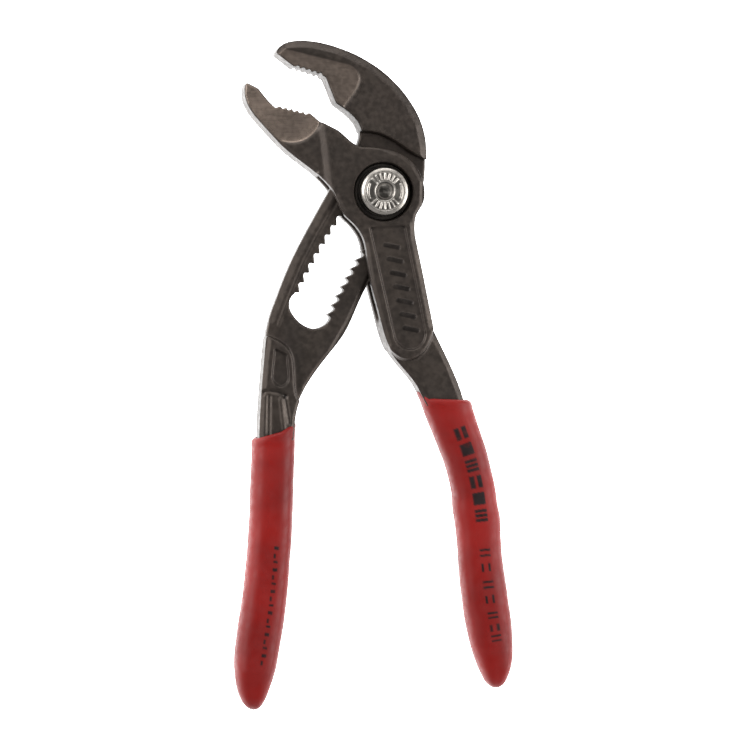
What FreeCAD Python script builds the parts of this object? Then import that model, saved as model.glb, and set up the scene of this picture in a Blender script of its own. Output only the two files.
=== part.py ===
import os
import FreeCAD
import Part
from math import cos, hypot, radians, sin

# Slip-joint water pump pliers. Millimetres. The origin is on the hinge bolt's axis, in the plane that the
# tool rests on. +X right, +Y towards the jaws, +Z along the bolt towards the push button.

# box joint, measured along the bolt
boxThickness = 10.0
tongueThickness = 3.8
slideGap = 0.1            # play on each face of the tongue
recessDepth = 2.0         # well around the button, in the front cheek
collarWellDepth = 0.85    # well around the collar, in the back cheek
rimWidth = 2.3            # steel between the button's well and the rounded rim of the cheeks

# toothed slot: an arc in the tongue that the bolt sits in
slotRadius = 106.7
slotLean = 38.2           # degrees, from -Y towards -X, at the bolt
positions = 13
toothPitch = 2.0
tipHalfWidth = 3.2
toothDepth = 0.9
toothReturn = 0.2         # from a tip to the root below it, along the slot
toothFlat = 0.7           # from a tip to the end of the root's flat
leftTeethStart = -4.0     # the first tip of each flank, from the bolt
rightTeethStart = -4.5
pocketLength = 5.2        # from the bolt at its widest setting to the slot's lower end
reliefLength = 9.2        # from there to the thick part of the leg, clear of the cheeks' rims
tongueLeft = 8.2          # from the slot's arc to the tongue's edges
tongueRight = 7.6
cornerReach = 1.8         # how far the hook's root stands out past the tongue's left edge
wallPlay = 0.3            # between the tongue and the walls of the box
closingAngle = 12.5
openingAngle = 20.0

# bolt, button and spring
pressTravel = 2.0
neckPlay = 0.2            # between the neck and the tips of the teeth
fitPlay = 0.05            # radial play of both journals
toothPlay = 0.12
spigotRadius = 1.5
collarSpigotRadius = 2.2
collarWidth = 0.65        # how far the collar stands out past the journal
collarThickness = 0.7
buttonRadius = 4.37
buttonThickness = 1.3
buttonPlay = 1.13         # between the button and the side of its well
dishRadius = 2.2
dishDepth = 0.35
washerThickness = 0.25
springWire = 0.45
springTurns = 3.0
springPlay = 0.345        # between the spring's top turn and the bolt's neck
springInset = 0.8         # from the side of the well to the middle of the spring's lowest turn
washerPlay = 0.25
washerBore = 0.2          # radial play of the washer on the neck
journalStep = 0.03        # the journal is this much smaller than the teeth's roots
collarPlay = 0.3
collarGap = 0.05          # between the collar's top and the floor of its well
capShoulder = 0.62        # height of the cap's straight side, as a share of its thickness
capRise = 0.38            # how far the dome has risen at that share of its radius
pressedSpringHeight = 0.6

# legs and grips
jawThickness = 8.6
shankThickness = 7.2
tangThickness = 5.6
jawToothDepth = 0.55
toothSlant = 0.35         # where a jaw tooth's root lies, as a share of its pitch
panelDepth = 0.5
padDepth = 0.35
barHeight = 0.25
barPitch = 2.6
barCount = 7
gripThickness = 8.8
gripWall = 1.15
gripFullWidth = 7.6       # a grip narrower than this, near its tip, is thinner too
gripRoundness = 0.72      # corner radius as a share of the half width
boxLegGripLength = 58.8
slottedLegGripLength = 55.0

slideLength = (positions - 1) * toothPitch
rootHalfWidth = tipHalfWidth + toothDepth
neckRadius = tipHalfWidth - neckPlay
journalRadius = rootHalfWidth - toothPlay - journalStep
collarRadius = journalRadius + collarWidth
recessRadius = buttonRadius + buttonPlay
headRadius = recessRadius + rimWidth
collarTop = collarWellDepth - collarGap
springBaseRadius = recessRadius - springInset
springTopRadius = neckRadius + springWire / 2.0 + springPlay
midZ = boxThickness / 2.0
tongueBottom = midZ - tongueThickness / 2.0
tongueTop = midZ + tongueThickness / 2.0
cheekTop = tongueBottom - slideGap        # inner face of the back cheek
cheekBottom = tongueTop + slideGap        # inner face of the front cheek
recessFloor = boxThickness - recessDepth
toothTop = cheekTop + pressTravel
buttonBottom = recessFloor + washerThickness + pressedSpringHeight + pressTravel
slotCentre = (slotRadius * cos(radians(slotLean)), -slotRadius * sin(radians(slotLean)))
up = FreeCAD.Vector(0, 0, 1)
past = 1.0                # how far a cutter runs out of the steel, and fused bodies into each other

parts = {}


def point(x, y, z=0.0):
    return FreeCAD.Vector(x, y, z)


def slotPoint(along, across):
    """A place in the tongue: along the slot's arc from the bolt, and across it to the left."""
    azimuth = radians(180.0 - slotLean) + along / slotRadius
    radius = slotRadius + across
    return (slotCentre[0] + radius * cos(azimuth), slotCentre[1] + radius * sin(azimuth))


def polar(radius, azimuth):
    return (radius * cos(radians(azimuth)), radius * sin(radians(azimuth)))


def lineCrossing(distanceA, azimuthA, distanceB, azimuthB):
    """Where two lines meet that lie at these distances from the bolt, in these directions."""
    a = radians(azimuthA)
    b = radians(azimuthB)
    scale = sin(b - a)
    x = (distanceA * sin(b) - distanceB * sin(a)) / scale
    y = (distanceB * cos(a) - distanceA * cos(b)) / scale
    return (x, y)


def straight(places):
    return [Part.makeLine(point(*a), point(*b)) for a, b in zip(places, places[1:])]


def smooth(places):
    curve = Part.BSplineCurve()
    curve.interpolate([point(*place) for place in places])
    return [curve.toShape()]


def face(*stretches):
    edges = [edge for stretch in stretches for edge in stretch]
    return Part.Face(Part.Wire(Part.__sortEdges__(edges)))


def slab(shape, bottom, top):
    lower = shape.copy()
    lower.translate(point(0, 0, bottom))
    return lower.extrude(point(0, 0, top - bottom))


def polygon(places, bottom, top):
    return slab(face(straight(places + places[:1])), bottom, top)


def disc(radius, bottom, top):
    return Part.makeCylinder(radius, top - bottom, point(0, 0, bottom))


def bothFaces(cutter):
    """A cutter for the front face together with its mirror image for the back face."""
    return cutter.fuse(cutter.mirror(point(0, 0, midZ), up))


def largest(shape):
    solid = max(shape.Solids, key=lambda piece: piece.Volume)
    return solid.removeSplitter()


def jawTeeth(first, last, count, depth):
    """Points of a row of gripping teeth, tips on the line from first to last."""
    stepX = (last[0] - first[0]) / count
    stepY = (last[1] - first[1]) / count
    length = hypot(stepX, stepY)
    places = []
    for index in range(count):
        x = first[0] + stepX * index
        y = first[1] + stepY * index
        places.append((x, y))
        places.append((x + stepX * toothSlant + stepY / length * depth,
                       y + stepY * toothSlant - stepX / length * depth))
    places.append(last)
    return places


def ramp(start, end, reach, drop):
    """A wedge off the front face: nothing at the line from start to end, drop deep at reach to its left."""
    dx = end[0] - start[0]
    dy = end[1] - start[1]
    length = hypot(dx, dy)
    across = point(-dy / length, dx / length)
    low = point(start[0], start[1], boxThickness)
    outline = [low, low + across * reach - up * drop, low + across * 40.0 - up * drop,
               low + across * 40.0 + up, low + up, low]
    return Part.Face(Part.makePolygon(outline)).extrude(point(dx, dy))


# plan of the box leg: lower jaw, head, shank
gripHeel = (-12.0, 13.2)
throatCorner = (-5.9, 9.2)
rimStart = polar(headRadius + 1.1, 109.0)
rimEnd = polar(headRadius, -18.0)
waist = (5.95, -6.2)
shankBend = (9.6, -25.8)
boxLegGripRight = (15.4, -38.9)
boxLegGripLeft = (7.3, -37.9)
boxLegTip = (-25.8, 20.4)
jawBackEnd = (-9.6, 0.3)

# plan of the slotted leg: hooked jaw, tongue, shank
hookTip = (-20.2, 25.9)
hookHeel = (-10.8, 21.4)
stepInner = (-4.1, 10.9)
stepOuter = (8.35, 6.5)
slottedLegGripRight = (-16.5, -43.0)
slottedLegGripLeft = (-23.3, -45.2)

# centre lines and widths of the two grips, from just above the open end to the tip
boxLegGripShape = [(11.1, -36.0, 8.9), (12.9, -41.0, 8.75), (14.6, -45.6, 8.5), (16.4, -50.6, 8.2),
                   (17.6, -55.4, 8.2), (18.3, -59.6, 8.5), (18.8, -65.0, 8.2), (19.3, -71.0, 8.35),
                  (20.2, -78.0, 8.55), (21.2, -84.6, 8.1), (21.8, -88.6, 6.9), (22.0, -91.6, 5.0),
                  (22.05, -93.6, 2.4)]
slottedLegGripShape = [(-20.2, -42.5, 7.9), (-20.4, -49.0, 8.0), (-20.65, -56.0, 8.1), (-20.9, -63.0, 8.1),
                      (-21.4, -70.0, 8.1), (-22.15, -77.4, 8.35), (-23.2, -84.4, 8.3), (-23.9, -89.8, 7.7),
                      (-24.2, -93.4, 6.2), (-24.2, -95.8, 4.4), (-24.15, -97.2, 2.2)]
boxLegLip = [(7.0, -37.4), (8.8, -38.9), (16.9, -39.2)]
slottedLegLip = [(-24.4, -46.5), (-19.2, -45.0), (-16.2, -43.2)]


def stretched(line, length):
    """The centre line of a grip, brought to its length from its open end."""
    shapeLength = sum(hypot(b[0] - a[0], b[1] - a[1]) for a, b in zip(line, line[1:]))
    scale = length / shapeLength
    x0, y0, width0 = line[0]
    return [(x0 + (x - x0) * scale, y0 + (y - y0) * scale, width) for x, y, width in line]


def headings(line):
    """Unit direction of a grip's centre line at each of its points."""
    places = []
    for index in range(len(line)):
        before = line[max(index - 1, 0)]
        after = line[min(index + 1, len(line) - 1)]
        length = hypot(after[0] - before[0], after[1] - before[1])
        places.append(((after[0] - before[0]) / length, (after[1] - before[1]) / length))
    return places


def tangSides(line, leftEnd, rightEnd):
    """Left and right outline of the steel inside a grip, from the leg at the grip's open end."""
    left = [leftEnd]
    right = [rightEnd]
    directions = headings(line)
    for index in range(2, len(line) - 3):
        x, y, width = line[index]
        dx, dy = directions[index]
        half = width / 2.0 - gripWall
        left.append((x + dy * half, y - dx * half))
        right.append((x - dy * half, y + dx * half))
    return left, right


def gripSection(x, y, dx, dy, width):
    """A rounded rectangle across the direction dx, dy."""
    halfWidth = width / 2.0
    halfThick = gripThickness / 2.0 * min(1.0, (width / gripFullWidth) ** 0.7)
    corner = min(halfWidth, halfThick) * gripRoundness
    across = point(-dy, dx)
    centre = point(x, y, midZ)
    edges = []
    ends = []
    for side, rise in ((1, 1), (-1, 1), (-1, -1), (1, -1)):
        middle = centre + across * (side * (halfWidth - corner)) + up * (rise * (halfThick - corner))
        flat = middle + across * (side * corner)
        high = middle + up * (rise * corner)
        slant = middle + (across * side + up * rise) * (corner * sin(radians(45)))
        first, last = (flat, high) if side * rise > 0 else (high, flat)
        ends.append((first, slant, last))
    for index, (first, slant, last) in enumerate(ends):
        edges.append(Part.Arc(first, slant, last).toShape())
        edges.append(Part.makeLine(last, ends[(index + 1) % 4][0]))
    return Part.Wire(edges)


def gripBody(line, lip):
    """Outer solid of a dipped grip: rounded sections along its centre line, trimmed along its lip."""
    sections = [gripSection(x, y, dx, dy, width) for (x, y, width), (dx, dy) in zip(line, headings(line))]
    body = Part.makeLoft(sections, True, False)
    beyond = face(smooth(lip), straight([lip[-1], (lip[-1][0] + 9.0, lip[-1][1] + 12.0),
                                         (lip[0][0] - 9.0, lip[0][1] + 12.0), lip[0]]))
    return body.cut(slab(beyond, -5.0, boxThickness + 5.0))


boxLegGripLine = stretched(boxLegGripShape, boxLegGripLength)
slottedLegGripLine = stretched(slottedLegGripShape, slottedLegGripLength)

# ---- box leg
boxTangLeft, boxTangRight = tangSides(boxLegGripLine, boxLegGripLeft, boxLegGripRight)
boxJawTeeth = jawTeeth((-19.3, 16.0), (-13.9, 14.75), 5, jawToothDepth)
boxLegPlan = face(
    straight([boxLegTip, (-23.5, 19.3)]),
    smooth([(-23.5, 19.3), (-21.9, 17.3), (-20.3, 15.6)]),
    straight([(-20.3, 15.6)] + boxJawTeeth + [gripHeel, (-8.6, 11.5)]),
    smooth([(-8.6, 11.5), (-7.2, 10.3), throatCorner, rimStart]),
    smooth([rimStart, polar(headRadius + 0.3, 90.0), polar(headRadius, 70.0), polar(headRadius, 45.0),
            polar(headRadius, 15.0), rimEnd, (6.3, -4.3), waist, (6.1, -8.6)]),
    straight([(6.1, -8.6), (7.5, -15.2), shankBend]),
    smooth([shankBend, (11.5, -29.6), (13.0, -32.7), boxLegGripRight]),
    straight([boxLegGripRight] + boxTangRight[1:]),
    straight([boxTangRight[-1], boxTangLeft[-1]]),
    straight(boxTangLeft[::-1]),
    smooth([boxLegGripLeft, (4.4, -33.7), (1.9, -30.6), (0.6, -28.0), (-0.8, -23.0), (-2.2, -17.6),
            (-3.1, -12.2), (-3.5, -9.6), (-4.4, -7.6)]),
    smooth([(-4.4, -7.6), (-5.9, -5.8), (-7.5, -4.2), (-8.7, -1.6), jawBackEnd]),
    smooth([jawBackEnd, (-12.8, 3.6), (-17.8, 7.4), (-22.8, 12.5), (-25.5, 16.1), (-26.1, 18.2), boxLegTip]),
)
steelAll = slab(boxLegPlan, 0.0, boxThickness)

# below this curve, which runs round the panel's lower end, the shank is thinner than the box
lowerShankFace = face(
    smooth([(-4.0, -27.6), (-1.4, -28.3), (0.8, -29.4), (3.2, -31.2), (4.9, -31.6), (6.5, -31.1),
            (8.4, -29.1), (9.3, -26.9), (10.2, -23.6)]),
    straight([(10.2, -23.6), (40.0, -23.6), (40.0, -110.0), (-20.0, -110.0), (-20.0, -27.6), (-4.0, -27.6)]),
)
lowerShank = slab(lowerShankFace, midZ + shankThickness / 2.0, boxThickness)
tangZone = polygon([(0, -40.4), (40, -40.4), (40, -110), (0, -110)],
                   midZ + tangThickness / 2.0, boxThickness)
jawRamp = ramp((-9.2, -2.0), (-11.3, 16.0), 1.6, (boxThickness - jawThickness) / 2.0)
jawRest = polygon([(-10.2, -3.0), (-40, -3.0), (-40, 40), (-13.6, 40), (-12.9, 16.0)],
                  midZ + jawThickness / 2.0, boxThickness)
padFace = face(
    smooth([(-24.6, 13.6), (-22.0, 10.6), (-19.3, 9.3), (-16.6, 9.05), (-14.2, 9.9), (-12.5, 11.6),
            (-11.6, 13.6)]),
    straight([(-11.6, 13.6), (-11.6, 24.0), (-30.0, 24.0), (-30.0, 13.6), (-24.6, 13.6)]),
)
jawPad = slab(padFace, midZ + jawThickness / 2.0 - padDepth, boxThickness)
panelFace = face(
    straight([(-2.6, -6.8), (-1.2, -13.0), (2.0, -27.0)]),
    smooth([(2.0, -27.0), (2.8, -28.6), (4.1, -29.5), (5.5, -29.7), (6.8, -29.1), (7.7, -28.0),
            (8.0, -26.6)]),
    straight([(8.0, -26.6), (7.0, -21.2), (5.0, -11.4), (4.0, -6.4), (-2.6, -6.8)]),
)
panel = slab(panelFace, boxThickness - panelDepth, boxThickness)
bars = []
for index in range(barCount):
    y = -10.2 - barPitch * index
    x = 1.6 - 0.235 * (y + 10.2)
    bar = polygon([(x - 1.5, y - 0.2), (x + 1.3, y - 0.75), (x + 1.5, y + 0.2), (x - 1.3, y + 0.75)],
                  boxThickness - panelDepth - barHeight, boxThickness - panelDepth + barHeight)
    bars.append(bar)

# the box: a gap between the cheeks. The tongue's left edge stops against the jaw's two walls, one when
# the legs close and one when they open; the shank's wall follows the tongue's right edge when they close.
closeAzimuth = 180.0 - slotLean + closingAngle
openAzimuth = 180.0 - slotLean - openingAngle
apex = lineCrossing(tongueLeft + cornerReach + wallPlay, closeAzimuth,
                    tongueLeft + 2.0 * wallPlay, openAzimuth)
farLeft = polar(60.0, openAzimuth + 90.0)
farUp = polar(60.0, closeAzimuth - 90.0)
gapZone = polygon([apex, (apex[0] + farLeft[0], apex[1] + farLeft[1]), (-20.0, -70.0), (40.0, -70.0),
                   (70.0, 0.0), (apex[0] + farUp[0], apex[1] + farUp[1])], cheekTop, cheekBottom)
wallCentre = polar(slotRadius, closingAngle - slotLean)
wallRadius = slotRadius - tongueRight - wallPlay
shankWall = Part.makeCylinder(wallRadius, boxThickness, point(wallCentre[0], wallCentre[1], 0))
belowWaist = polygon([(-20, -5.0), (40, -9.0), (40, -110), (-20, -110)], 0.0, boxThickness)
shankBlock = shankWall.common(belowWaist)
mortise = gapZone.cut(shankBlock)

boxLeg = steelAll
for cutter in (lowerShank, tangZone, jawRamp, jawRest, jawPad, panel):
    boxLeg = boxLeg.cut(bothFaces(cutter))
for bar in bars:
    boxLeg = boxLeg.fuse(bothFaces(bar))
boxLeg = boxLeg.cut(mortise)
boxLeg = boxLeg.cut(disc(recessRadius, recessFloor, boxThickness + past))
boxLeg = boxLeg.cut(disc(neckRadius + fitPlay, cheekBottom - past, boxThickness))
boxLeg = boxLeg.cut(disc(journalRadius + fitPlay, -past, cheekTop + past))
boxLeg = boxLeg.cut(disc(collarRadius + collarPlay, -past, collarWellDepth))
parts["box_leg"] = largest(boxLeg)

# ---- slotted leg
def toothedFlank(first, count, side, tip, root, play):
    """One toothed flank of the slot. The tips lean towards the slot's lower end."""
    places = []
    for index in range(count):
        along = first + toothPitch * index
        places.append(slotPoint(along + play, side * tip))
        places.append(slotPoint(along + toothReturn + play, side * (root - 0.1)))
        places.append(slotPoint(along + toothFlat, side * root))
    return places


slotTop = leftTeethStart - 1.1
slotEnd = slideLength + pocketLength
leftTeeth = round(slideLength / toothPitch - leftTeethStart / toothPitch)
slotLeft = toothedFlank(leftTeethStart, leftTeeth + 1, 1, tipHalfWidth, rootHalfWidth, 0.0)
slotRight = toothedFlank(rightTeethStart, leftTeeth + 2, -1, tipHalfWidth, rootHalfWidth, 0.0)
slotFace = face(
    straight(slotLeft),
    smooth([slotLeft[-1], slotPoint(slotEnd - 3.4, rootHalfWidth + 0.25),
            slotPoint(slotEnd - 2.0, rootHalfWidth - 0.3), slotPoint(slotEnd - 0.8, 2.3),
            slotPoint(slotEnd, 0.0), slotPoint(slotEnd - 0.1, -1.8),
            slotPoint(slotEnd - 1.2, -rootHalfWidth + 0.8), slotRight[-1]]),
    straight(slotRight[::-1]),
    smooth([slotRight[0], slotPoint(slotTop, -1.5), slotPoint(slotTop, 1.5), slotLeft[0]]),
)
slot = slab(slotFace, 0.0, boxThickness)

slotTangLeft, slotTangRight = tangSides(slottedLegGripLine, slottedLegGripLeft, slottedLegGripRight)
hookTeeth = jawTeeth((-11.4, 21.7), (-16.7, 23.3), 5, jawToothDepth)
slottedLegPlan = face(
    straight([hookHeel] + hookTeeth + [hookTip]),
    smooth([hookTip, (-18.8, 27.6), (-16.8, 28.2), (-13.5, 28.2), (-8.0, 26.9), (-2.4, 24.3), (2.3, 20.6),
            (5.4, 16.8), (7.4, 12.9), (8.3, 8.6), stepOuter]),
    smooth([stepOuter, (8.25, 3.0), (7.6, -0.6), slotPoint(4.0, -tongueRight), slotPoint(10.0, -tongueRight),
            slotPoint(20.0, -tongueRight), slotPoint(28.0, -tongueRight), (-9.7, -30.2), (-12.7, -34.1),
            (-15.3, -38.5), slottedLegGripRight]),
    straight([slottedLegGripRight] + slotTangRight[1:]),
    straight([slotTangRight[-1], slotTangLeft[-1]]),
    straight(slotTangLeft[::-1]),
    smooth([slottedLegGripLeft, (-22.9, -37.5), (-22.4, -31.5), (-21.8, -26.2), (-21.2, -23.6),
            (-19.9, -20.0), (-18.4, -16.1), (-16.8, -12.5), (-14.6, -8.2), (-10.3, -0.5), (-6.9, 5.2),
            (-4.5, 9.2), stepInner]),
    smooth([stepInner, (-4.3, 12.2), (-5.4, 13.9), (-7.1, 15.4), (-8.9, 16.6)]),
    straight([(-8.9, 16.6), hookHeel]),
)
legAll = slab(slottedLegPlan, midZ - jawThickness / 2.0, midZ + jawThickness / 2.0)

# the tongue: the middle layer only, where the cheeks pass over it at every setting
thickStart = slideLength + reliefLength
reliefFace = face(
    smooth([(-12.0, 10.9), (-4.2, 11.3), (-2.4, 11.3), (0.8, 10.4), (3.4, 8.9), (6.0, 7.2), (8.3, 6.1),
            (12.0, 4.0)]),
    straight([(12.0, 4.0), (30.0, -20.0), (4.0, -45.0)]),
    straight([(4.0, -45.0), slotPoint(thickStart + 9.8, -3.2)]),
    smooth([slotPoint(thickStart + 9.8, -3.2), slotPoint(thickStart + 4.2, -0.8),
            slotPoint(thickStart + 1.4, 1.0), slotPoint(thickStart + 0.4, 3.4),
            slotPoint(thickStart + 0.3, 5.6), slotPoint(thickStart, 9.0)]),
    straight([slotPoint(thickStart, 9.0), (-40.0, -12.0), (-12.0, 10.9)]),
)
relief = slab(reliefFace, tongueTop, boxThickness)
legThin = polygon([(-60, -27.0), (0, -27.0), (0, -110), (-60, -110)],
                  midZ + shankThickness / 2.0, boxThickness)
legTang = polygon([(-60, -46.8), (0, -46.8), (0, -110), (-60, -110)],
                  midZ + tangThickness / 2.0, boxThickness)
hookPadFace = face(
    straight([(-24.0, 24.0), (-19.4, 27.0), (-6.2, 23.9)]),
    smooth([(-6.2, 23.9), (-4.9, 22.8), (-4.4, 21.4), (-4.8, 19.6), (-5.9, 17.8), (-7.6, 15.6),
            (-9.0, 14.0)]),
    straight([(-9.0, 14.0), (-24.0, 14.0), (-24.0, 24.0)]),
)
hookPad = slab(hookPadFace, midZ + jawThickness / 2.0 - padDepth, boxThickness)
legPanelFace = face(
    straight([(-20.4, -29.4), (-20.9, -34.6)]),
    smooth([(-20.9, -34.6), (-20.4, -36.0), (-19.2, -36.6), (-18.1, -36.0), (-17.7, -34.8)]),
    straight([(-17.7, -34.8), (-18.1, -30.6), (-20.4, -29.4)]),
)
legPanel = slab(legPanelFace, midZ + shankThickness / 2.0 - panelDepth, boxThickness)

slottedLeg = legAll
for cutter in (relief, legThin, legTang, hookPad, legPanel):
    slottedLeg = slottedLeg.cut(bothFaces(cutter))
slottedLeg = slottedLeg.cut(slot)
parts["slotted_leg"] = largest(slottedLeg)

# ---- bolt, with teeth that fill the slot's valleys at each setting
boltLeft = toothedFlank(leftTeethStart - 2.0 * toothPitch, 8, 1,
                        tipHalfWidth - toothPlay, rootHalfWidth - toothPlay, toothPlay)
boltRight = toothedFlank(rightTeethStart - 2.0 * toothPitch, 8, -1,
                         tipHalfWidth - toothPlay, rootHalfWidth - toothPlay, toothPlay)
boltBand = face(straight(boltLeft + boltRight[::-1] + boltLeft[:1]))
toothedZone = slab(boltBand, tongueBottom - slideGap, toothTop).common(
    disc(journalRadius, tongueBottom - slideGap, toothTop))
bolt = toothedZone.fuse(disc(journalRadius, collarTop, tongueBottom - slideGap))
bolt = bolt.fuse(disc(neckRadius, toothTop - past, buttonBottom))
bolt = bolt.fuse(disc(spigotRadius, buttonBottom - past, buttonBottom + buttonThickness - dishDepth))
bolt = bolt.fuse(disc(collarSpigotRadius, collarTop - collarThickness, collarWellDepth))
parts["toothed_bolt"] = largest(bolt)

collar = disc(collarRadius, collarTop - collarThickness, collarTop)
parts["bolt_collar"] = collar.cut(parts["toothed_bolt"])

capEdge = buttonBottom + buttonThickness * capShoulder
capFace = Part.Face(Part.Wire([
    Part.makeLine(point(0, 0, buttonBottom), point(buttonRadius, 0, buttonBottom)),
    Part.makeLine(point(buttonRadius, 0, buttonBottom), point(buttonRadius, 0, capEdge)),
    Part.Arc(point(buttonRadius, 0, capEdge), point(buttonRadius * capShoulder, 0, capEdge + capRise),
             point(0, 0, buttonBottom + buttonThickness)).toShape(),
    Part.makeLine(point(0, 0, buttonBottom + buttonThickness), point(0, 0, buttonBottom)),
]))
cap = capFace.revolve(point(0, 0, 0), up, 360)
capTop = buttonBottom + buttonThickness
cap = cap.cut(disc(dishRadius, capTop - dishDepth, capTop + past))
parts["push_button"] = cap.cut(parts["toothed_bolt"])

washer = disc(recessRadius - washerPlay, recessFloor, recessFloor + washerThickness)
washerHole = disc(neckRadius + washerBore, recessFloor - past, boxThickness)
parts["spring_washer"] = washer.cut(washerHole)

# ---- conical spring between the washer and the button
springBottom = recessFloor + washerThickness
springRise = buttonBottom - springBottom - springWire
coil = Part.BSplineCurve()
turnSteps = int(springTurns * 16)
coilPoints = []
for index in range(turnSteps + 1):
    share = index / turnSteps
    coilRadius = springBaseRadius + (springTopRadius - springBaseRadius) * share
    x, y = polar(coilRadius, 360.0 * springTurns * share)
    coilPoints.append(point(x, y, springBottom + springWire / 2.0 + springRise * share))
coil.interpolate(coilPoints)
coilEdge = coil.toShape()
tangent = coil.tangent(coil.FirstParameter)[0]
wireSection = Part.Wire([Part.makeCircle(springWire / 2.0, coilPoints[0], tangent)])
parts["button_spring"] = Part.Wire([coilEdge]).makePipeShell([wireSection], True, True)

# ---- grips
for node, line, lip, leg in (("box_leg_grip", boxLegGripLine, boxLegLip, "box_leg"),
                             ("slotted_leg_grip", slottedLegGripLine, slottedLegLip, "slotted_leg")):
    parts[node] = largest(gripBody(line, lip).cut(parts[leg]))

os.makedirs("parts", exist_ok=True)
for node, shape in parts.items():
    shape.exportStep("parts/" + node + ".step")
    box = shape.BoundBox
    print(node, "valid", shape.isValid(), "solids", len(shape.Solids), "volume", round(shape.Volume, 2),
          "z", round(box.ZMin, 2), round(box.ZMax, 2))
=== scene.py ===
import math

import bpy
import numpy as np
from mathutils import Matrix, Vector


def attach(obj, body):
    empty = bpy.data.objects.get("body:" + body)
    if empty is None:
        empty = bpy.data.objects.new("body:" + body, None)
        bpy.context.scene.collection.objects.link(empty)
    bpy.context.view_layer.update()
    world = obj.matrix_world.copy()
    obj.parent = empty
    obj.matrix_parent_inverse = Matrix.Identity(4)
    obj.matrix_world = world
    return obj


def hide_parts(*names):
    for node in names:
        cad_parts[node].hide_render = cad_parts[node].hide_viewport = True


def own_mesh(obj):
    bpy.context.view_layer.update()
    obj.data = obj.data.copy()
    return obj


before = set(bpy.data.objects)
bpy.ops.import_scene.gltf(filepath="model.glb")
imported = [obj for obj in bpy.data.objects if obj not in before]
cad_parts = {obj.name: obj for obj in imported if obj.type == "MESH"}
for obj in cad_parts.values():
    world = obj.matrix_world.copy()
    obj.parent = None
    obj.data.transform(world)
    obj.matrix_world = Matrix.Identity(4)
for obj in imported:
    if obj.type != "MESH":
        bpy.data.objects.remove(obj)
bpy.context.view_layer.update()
mm = 0.001
midZ = 5.0                                    # the tool's middle plane, mm above the floor


def paint(red, green, blue):
    channels = []
    for value in (red, green, blue):
        share = value / 255.0
        channels.append(share / 12.92 if share < 0.04045 else ((share + 0.055) / 1.055) ** 2.4)
    return (*channels, 1.0)


# numbers along a curve

def hermite(stations, values, spots):
    stations = np.asarray(stations, float)
    values = np.asarray(values, float)
    slopes = np.gradient(values, stations, axis=0)
    index = np.clip(np.searchsorted(stations, spots) - 1, 0, len(stations) - 2)
    span = stations[index + 1] - stations[index]
    share = np.clip((spots - stations[index]) / span, 0.0, 1.0)
    if values.ndim > 1:
        share = share[:, None]
        span = span[:, None]
    square = share * share
    cube = square * share
    return ((2 * cube - 3 * square + 1) * values[index] + (cube - 2 * square + share) * span * slopes[index]
            + (3 * square - 2 * cube) * values[index + 1] + (cube - square) * span * slopes[index + 1])


def rise(value, low, high):
    share = np.clip((value - low) / (high - low), 0.0, 1.0)
    return share * share * (3.0 - 2.0 * share)


def lineDistance(places, line):
    best = np.full(len(places), 1e9)
    for first, last in zip(line, line[1:]):
        first = np.array(first)
        step = np.array(last) - first
        share = np.clip(((places - first) @ step) / (step @ step), 0.0, 1.0)
        gap = np.linalg.norm(places - first - share[:, None] * step, axis=1)
        best = np.minimum(best, gap)
    return best


# shader node groups

def newGroup(name, inputs, outputs):
    tree = bpy.data.node_groups.new(name, "ShaderNodeTree")
    kinds = {"number": "NodeSocketFloat", "colour": "NodeSocketColor", "vector": "NodeSocketVector"}
    for label, kind, value in inputs:
        socket = tree.interface.new_socket(name=label, in_out="INPUT", socket_type=kinds[kind])
        if value is not None:
            socket.default_value = value
    for label, kind in outputs:
        tree.interface.new_socket(name=label, in_out="OUTPUT", socket_type=kinds[kind])
    return tree, tree.nodes.new("NodeGroupInput"), tree.nodes.new("NodeGroupOutput")


def addNoise(tree, place, scale, detail=3.0, stretch=None):
    noise = tree.nodes.new("ShaderNodeTexNoise")
    noise.inputs["Detail"].default_value = detail
    if stretch is not None:
        mapping = tree.nodes.new("ShaderNodeMapping")
        mapping.inputs["Scale"].default_value = stretch
        tree.links.new(place, mapping.inputs["Vector"])
        place = mapping.outputs["Vector"]
    tree.links.new(place, noise.inputs["Vector"])
    if isinstance(scale, (int, float)):
        noise.inputs["Scale"].default_value = scale
    else:
        tree.links.new(scale, noise.inputs["Scale"])
    return noise.outputs["Fac"]


def addSpread(tree, value, low, high, newLow=0.0, newHigh=1.0):
    spread = tree.nodes.new("ShaderNodeMapRange")
    spread.interpolation_type = "SMOOTHSTEP"
    for label, amount in (("From Min", low), ("From Max", high), ("To Min", newLow), ("To Max", newHigh)):
        if isinstance(amount, (int, float)):
            spread.inputs[label].default_value = amount
        else:
            tree.links.new(amount, spread.inputs[label])
    tree.links.new(value, spread.inputs["Value"])
    return spread.outputs["Result"]


def addMix(tree, share, first, second):
    mix = tree.nodes.new("ShaderNodeMix")
    mix.data_type = "RGBA"
    tree.links.new(share, mix.inputs["Factor"])
    for socket, colour in ((mix.inputs[6], first), (mix.inputs[7], second)):
        if isinstance(colour, tuple):
            socket.default_value = colour
        else:
            tree.links.new(colour, socket)
    return mix.outputs[2]


def addMath(tree, kind, first, second):
    node = tree.nodes.new("ShaderNodeMath")
    node.operation = kind
    for socket, value in ((node.inputs[0], first), (node.inputs[1], second)):
        if isinstance(value, (int, float)):
            socket.default_value = value
        else:
            tree.links.new(value, socket)
    return node.outputs[0]


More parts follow.
